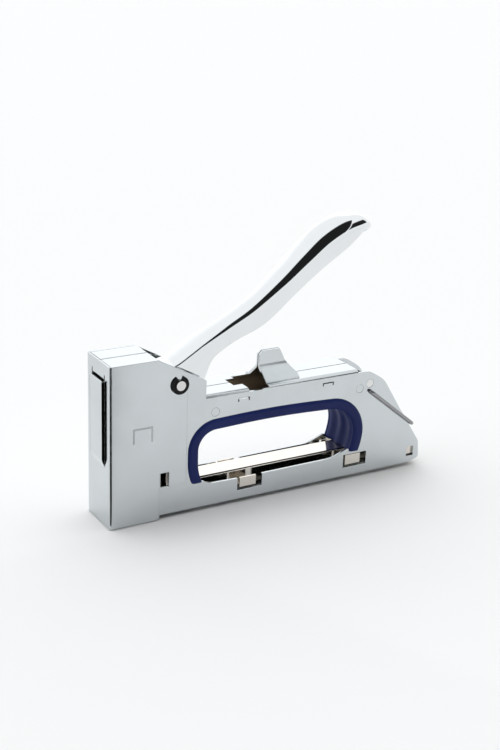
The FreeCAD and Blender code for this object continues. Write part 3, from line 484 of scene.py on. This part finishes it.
def lever_ring(row, thinner):
    """Return a section of the lever's outer or inner face, from the left flange to the right."""
    along, up, depth, half, corner, angle = row
    crown = PIVOT + Vector((along * REACH, 0, up * RISE))
    lean = math.radians(angle)
    down = Vector((math.sin(lean), 0, -math.cos(lean)))
    side = Vector((0, 1, 0))
    depth = depth * MM
    half = half * MM - thinner
    corner = max(corner * MM - thinner, SMALLEST_BEND)
    points = [(-half, depth + (corner - depth) * step / FLANK_STEPS) for step in range(FLANK_STEPS)]
    for step in range(BEND_STEPS + 1):
        turn = math.pi / 2 * step / BEND_STEPS
        points.append((-half + corner - corner * math.cos(turn), corner - corner * math.sin(turn)))
    mirrored = [(-across, below) for across, below in reversed(points)]
    points += [(0.0, -CROWNING * half)] + mirrored
    ring = []
    for across, below in points:
        wall = thinner if below < depth else 0.0
        ring.append(crown + side * across + down * (below + wall))
    return ring


def build_lever():
    """Return the pressed lever: a channel that is open underneath, with a solid tip."""
    thickness = bpy.context.scene.gun_sizes.lever_wall
    rows = spline(LEVER_SHAPE, LEVER_ROWS)
    hollow = [row for row in rows if row[0] < HOLLOW_END]
    shape = bmesh.new()
    outside = [[shape.verts.new(point) for point in lever_ring(row, 0.0)] for row in rows]
    inside = [[shape.verts.new(point) for point in lever_ring(row, thickness)] for row in hollow]
    count = len(outside[0])
    end = len(inside) - 1
    for sheet in (outside, inside):
        for row, after in zip(sheet, sheet[1:]):
            for index in range(count - 1):
                shape.faces.new((row[index], row[index + 1], after[index + 1], after[index]))
    # The flanges' lower edges, and the sheet's cut edge at the root.
    for edge in (0, -1):
        for index in range(end):
            shape.faces.new((outside[index][edge], outside[index + 1][edge],
                             inside[index + 1][edge], inside[index][edge]))
    for index in range(count - 1):
        shape.faces.new((outside[0][index], outside[0][index + 1], inside[0][index + 1], inside[0][index]))
    # The wall that ends the channel, and the underside of the solid tip.
    shape.faces.new(inside[end])
    left = [row[0] for row in outside[end + 1:]]
    right = [row[-1] for row in reversed(outside[end + 1:])]
    shape.faces.new([inside[end][0]] + left + outside[-1][1:-1] + right + [inside[end][-1]])
    for edge in (0, -1):
        shape.faces.new((outside[end][edge], outside[end + 1][edge], inside[end][edge]))
    mesh = to_mesh("lever_shell", shape)
    mesh.set_sharp_from_angle(angle=math.radians(40))
    return mesh


# ---------------------------------------------------------------- grip insert

# The arch's outer line: the radii of its two bends, how far the stretch between them swells and
# how much lower that ends at the rear, and how far the legs lean inwards below the bends.
FRONT_BEND = 16.2 * MM
REAR_BEND = 21.8 * MM
CROWN_SWELL = 1.0 * MM
REAR_DROP = 0.55 * MM
FRONT_LEG = 12 * MM
FRONT_LEAN = 2.4 * MM
REAR_LEAN = 2.2 * MM
# How finely each stretch of the arch and of its section is cut.
LEG_STEPS = 10
ARCH_STEPS = 19
CROWN_STEPS = 24
LIP_STEPS = 6
CHANNEL_STEPS = 40


def arch_line(inset):
    """Return points along the grip's arch, inset from its outer line, from front foot to rear."""
    low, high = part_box("grip_insert")
    left, right = low[0] + inset, high[0] - inset
    foot = low[2]
    front, rear = FRONT_BEND - inset, REAR_BEND - inset
    shoulder = high[2] - inset - CROWN_SWELL
    rear_shoulder = shoulder - REAR_DROP
    points = []
    for step in range(LEG_STEPS):
        part = step / LEG_STEPS
        points.append((left + FRONT_LEAN * (1 - part) ** 2.2, foot + FRONT_LEG * part))
    for step in range(ARCH_STEPS + 1):
        turn = math.pi / 2 * step / ARCH_STEPS
        points.append((left + front - front * math.cos(turn), shoulder - front + front * math.sin(turn)))
    for step in range(1, CROWN_STEPS):
        part = step / CROWN_STEPS
        x = left + front + (right - rear - left - front) * part
        points.append((x, shoulder + CROWN_SWELL * math.sin(math.pi * part) - REAR_DROP * part))
    for step in range(ARCH_STEPS + 1):
        turn = math.pi / 2 * step / ARCH_STEPS
        points.append((right - rear + rear * math.sin(turn), rear_shoulder - rear + rear * math.cos(turn)))
    bottom = rear_shoulder - rear
    for step in range(1, LEG_STEPS + 1):
        part = step / LEG_STEPS
        points.append((right - REAR_LEAN * part ** 1.7, bottom + (foot - bottom) * part))
    return points


def channel_height(share, deep):
    """Return the inner face's height, 0 or below, at a share of its half width: two channels."""
    return -deep * (0.5 - 0.5 * math.cos(share * math.pi * 3)) * (1 - share ** 4)


def grip_section(half, sizes):
    """Return the band's section: places across it, and depths from its back towards the hand."""
    lip, band = sizes.grip_lip, sizes.grip_band
    turns = [math.pi / 2 * step / LIP_STEPS for step in range(LIP_STEPS + 1)]
    rounding = [(half - lip + lip * math.cos(turn), lip - lip * math.sin(turn)) for turn in turns]
    back = [(-y, depth) for y, depth in rounding] + rounding[::-1]
    right = [(y, band - depth) for y, depth in rounding]
    left = [(-y, band - depth) for y, depth in reversed(rounding)]
    shares = [0.84 * (1 - 2 * index / CHANNEL_STEPS) for index in range(CHANNEL_STEPS + 1)]
    channels = [(half * share, band + channel_height(share, sizes.grip_channel)) for share in shares]
    return back + right + channels + left


def build_grip():
    """Return the grip's band, with rounded lips and channels along its inner face."""
    sizes = bpy.context.scene.gun_sizes
    section = grip_section(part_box("grip_insert")[1][1], sizes)
    rings = []
    for back, face in zip(arch_line(0.0), arch_line(sizes.grip_band)):
        start = Vector((back[0], 0, back[1]))
        inwards = (Vector((face[0], 0, face[1])) - start) / sizes.grip_band
        rings.append([start + inwards * depth + Vector((0, y, 0)) for y, depth in section])
    return skin("grip_band", rings)


# ---------------------------------------------------------------- springs

TURN_STEPS = 30
WIRE_SIDES = 10


def build_coil(name, low, high, along, wire, turns):
    """Return a helical spring that fills the box of its solid, along x (0) or z (2)."""
    middle = (low + high) / 2
    radius = (high.y - low.y) / 2 - wire
    first, last = low[along] + wire, high[along] - wire
    axis = Vector((1, 0, 0)) if along == 0 else Vector((0, 0, 1))
    across = Vector((0, 0, 1)) if along == 0 else Vector((1, 0, 0))
    side = Vector((0, 1, 0))
    steps = round(turns * TURN_STEPS)
    around = [2 * math.pi * index / WIRE_SIDES for index in range(WIRE_SIDES)]
    rings = []
    for step in range(steps + 1):
        turn = 2 * math.pi * turns * step / steps
        outward = across * math.cos(turn) + side * math.sin(turn)
        centre = Vector(middle)
        centre[along] = first + (last - first) * step / steps
        centre += outward * radius
        rings.append([centre + (outward * math.cos(part) + axis * math.sin(part)) * wire for part in around])
    return skin(name, rings)


# ---------------------------------------------------------------- operators

class GUN_OT_finishes(bpy.types.Operator):
    """Give every CAD node of the tool its finish"""
    bl_idname = "gun.finishes"
    bl_label = "Finish the frame's pieces"

    def execute(self, context):
        """Fill the nodes' material slots."""
        slots = {item["node"]: item["material_slot"] for item in frame["record"]["subparts"]}
        for name, node in NODES.items():
            wanted = "nose_plate" if name == "nose_cover" else slots[name]
            if not node.material_slots:
                node.data.materials.append(None)
            for holder in node.material_slots:
                holder.link = "OBJECT"
                holder.material = finish(wanted)
        return {"FINISHED"}


class GUN_OT_lever(bpy.types.Operator):
    """Build the hand lever"""
    bl_idname = "gun.lever"
    bl_label = "Hand lever"

    def execute(self, context):
        """Make the lever's shell in place of the CAD one."""
        lever = new_piece("lever_shell", build_lever(), "lever", "chrome_plate", "lever_plate")
        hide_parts("hand_lever")
        return {"FINISHED"}


class GUN_OT_grip(bpy.types.Operator):
    """Build the grip insert"""
    bl_idname = "gun.grip"
    bl_label = "Grip insert"

    def execute(self, context):
        """Make the grip's band in place of the CAD one."""
        grip = new_piece("grip_band", build_grip(), "frame", "blue_grip")
        grip.data.materials.append(finish("grip_back"))
        # Only the strip on the band's back, between its lips, has faces that are this wide.
        back_width = 20 * MM
        for face in grip.data.polygons:
            across = [grip.data.vertices[index].co.y for index in face.vertices]
            if len(across) == 4 and max(across) - min(across) > back_width:
                face.material_index = 1
        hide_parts("grip_insert")
        return {"FINISHED"}


class GUN_OT_springs(bpy.types.Operator):
    """Build the power spring and the pusher spring"""
    bl_idname = "gun.springs"
    bl_label = "Springs"

    def execute(self, context):
        """Make both coils in place of the CAD ones."""
        sizes = context.scene.gun_sizes
        self.make_spring("power_spring", "frame", 2, sizes.power_wire, sizes.power_turns, "driver_lift")
        self.make_spring("pusher_spring", "rail", 0, sizes.pusher_wire, sizes.pusher_turns, "pusher_slide")
        return {"FINISHED"}

    def make_spring(self, name, body, along, wire, turns, moved):
        """Make a coil along an axis, x (0) or z (2), in place of its CAD spring."""
        low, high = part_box(name)
        mesh = build_coil(name, low, high, along, wire, turns)
        coil = new_piece(name + "_coil", mesh, body, "spring_steel")
        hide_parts(name)
        length = high[along] - low[along]
        travel = max(abs(limit) for limit in joint(moved)["range_m"])
        (length - travel) / length
        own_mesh(coil)


class GUN_OT_stage(bpy.types.Operator):
    """Lay the floor, set the studio light and the camera"""
    bl_idname = "gun.stage"
    bl_label = "Stage"

    def execute(self, context):
        """Build everything that isn't part of the tool."""
        scene = context.scene
        self.make_floor(scene)
        self.make_world(scene)
        self.make_lamp(scene)
        self.lay_card(scene)
        self.make_camera(scene)
        scene.view_settings.view_transform = "Standard"
        return {"FINISHED"}

    def make_floor(self, scene):
        """Lay a wide pale floor, a hair below the sole."""
        shape = bmesh.new()
        bmesh.ops.create_grid(shape, x_segments=8, y_segments=8, size=4.0)
        mesh = bpy.data.meshes.new("floor")
        shape.to_mesh(mesh)
        shape.free()
        floor = bpy.data.objects.new("floor", mesh)
        floor.location.z = -0.4 * MM
        scene.collection.objects.link(floor)
        mesh.materials.append(finish_matt("floor", rgba(scene.gun_colours.floor), 0.85))

    def make_world(self, scene):
        """Surround the tool with a pale room whose dark panels show in the plating."""
        world = bpy.data.worlds.new("studio")
        scene.world = world
        tree = Tree(world)
        x, y, z = tree.split(tree.add("ShaderNodeTexCoord", {}, {}, out="Generated"))
        # Two dark panels on the tool's left, a tall one ahead and a low one towards the rear, with a
        # narrow bright gap between them.
        panels = x.ramp(0.495, 0.51) * (1 - z.ramp(0.55, 0.65)) + (1 - x.ramp(0.45, 0.465))
        dark = (-y).ramp(0.14, 0.26) * z.ramp(0.05, 0.12) * panels
        # A brighter band on the tool's right, above the horizon.
        beyond = y.ramp(0.05, 0.6) * z.ramp(-0.05, 0.15) * (1 - z.ramp(0.42, 0.56))
        strength = (1.08 + beyond * 0.42) * (1 - dark * 0.985)
        shade = tree.add("ShaderNodeBackground", {}, {"Color": (0.975, 0.99, 1.0, 1), "Strength": strength})
        tree.close("ShaderNodeOutputWorld", shade)

    def make_lamp(self, scene):
        """Light everything softly from overhead, without a reflection of the lamp."""
        strength, spread, lean = 0.95, 1.3, (0.15, -0.1, 0)
        lamp = bpy.data.lights.new("overhead", "SUN")
        lamp.energy, lamp.angle = strength, spread
        overhead = bpy.data.objects.new("overhead", lamp)
        scene.collection.objects.link(overhead)
        overhead.rotation_euler = lean
        overhead.visible_glossy = False

    def lay_card(self, scene):
        """Lay a dark card, which only reflections see, outwards from the nose's front left corner."""
        turn, swing = scene.gun_sizes.azimuth, 0.95
        sides = [Vector((math.sin(turn + aside), -math.cos(turn + aside), 0)) for aside in (-swing, swing)]
        corner = Vector((NOSE[0][0], NOSE[0][1], 0.3 * MM))
        close, far = 4 * MM, 450 * MM
        corners = [corner + sides[0] * close, corner + sides[1] * close,
                   corner + sides[1] * far, corner + sides[0] * far]
        mesh = bpy.data.meshes.new("corner_flag")
        mesh.from_pydata(corners, [], [(0, 1, 2, 3)])
        card = bpy.data.objects.new("corner_flag", mesh)
        scene.collection.objects.link(card)
        mesh.materials.append(finish_matt("corner_flag", (0.006, 0.006, 0.007, 1), 0.9, shine=0.0))
        card.visible_camera = False
        card.visible_diffuse = False
        card.visible_shadow = False

    def make_camera(self, scene):
        """Aim the camera at the middle of the tool from its usual side."""
        sizes = scene.gun_sizes
        turn, tilt, roll = sizes.azimuth, sizes.elevation, sizes.roll
        back = Vector((math.sin(turn) * math.cos(tilt), -math.cos(turn) * math.cos(tilt), math.sin(tilt)))
        right = Vector((math.cos(turn), math.sin(turn), 0))
        up = back.cross(right)
        rolled_right = right * math.cos(roll) + up * math.sin(roll)
        rolled_up = up * math.cos(roll) - right * math.sin(roll)
        target = Vector((-8.85 * MM, 0, 63.7 * MM))
        data = bpy.data.cameras.new("camera")
        data.lens = sizes.lens
        camera = bpy.data.objects.new("camera", data)
        scene.collection.objects.link(camera)
        pose = Matrix((rolled_right, rolled_up, back)).transposed().to_4x4()
        pose.translation = target + back * sizes.distance
        camera.matrix_world = pose
        scene.camera = camera


class GUN_PT_panel(bpy.types.Panel):
    """The tool's pieces, sizes and colours"""
    bl_idname = "GUN_PT_panel"
    bl_label = "Staple gun"
    bl_space_type = "VIEW_3D"
    bl_region_type = "UI"
    bl_category = "Staple gun"

    def draw(self, context):
        """List the operators and the settings."""
        for operator in OPERATORS:
            self.layout.operator(operator.bl_idname)
        for group in (context.scene.gun_sizes, context.scene.gun_colours):
            for name in group.__annotations__:
                self.layout.prop(group, name)


OPERATORS = (GUN_OT_finishes, GUN_OT_lever, GUN_OT_grip, GUN_OT_springs, GUN_OT_stage)
CLASSES = (GunColours, GunSizes) + OPERATORS + (GUN_PT_panel,)


def register():
    """Register the classes and the scene's settings."""
    for item in CLASSES:
        bpy.utils.register_class(item)
    bpy.types.Scene.gun_colours = bpy.props.PointerProperty(type=GunColours)
    bpy.types.Scene.gun_sizes = bpy.props.PointerProperty(type=GunSizes)


def unregister():
    """Take the classes and the settings away again."""
    del bpy.types.Scene.gun_sizes
    del bpy.types.Scene.gun_colours
    for item in reversed(CLASSES):
        bpy.utils.unregister_class(item)


def main():
    """Build the whole tool and its stage."""
    register()
    bpy.ops.gun.stage()
    bpy.ops.gun.finishes()
    bpy.ops.gun.lever()
    bpy.ops.gun.grip()
    bpy.ops.gun.springs()


if __name__ == "__main__":
    main()
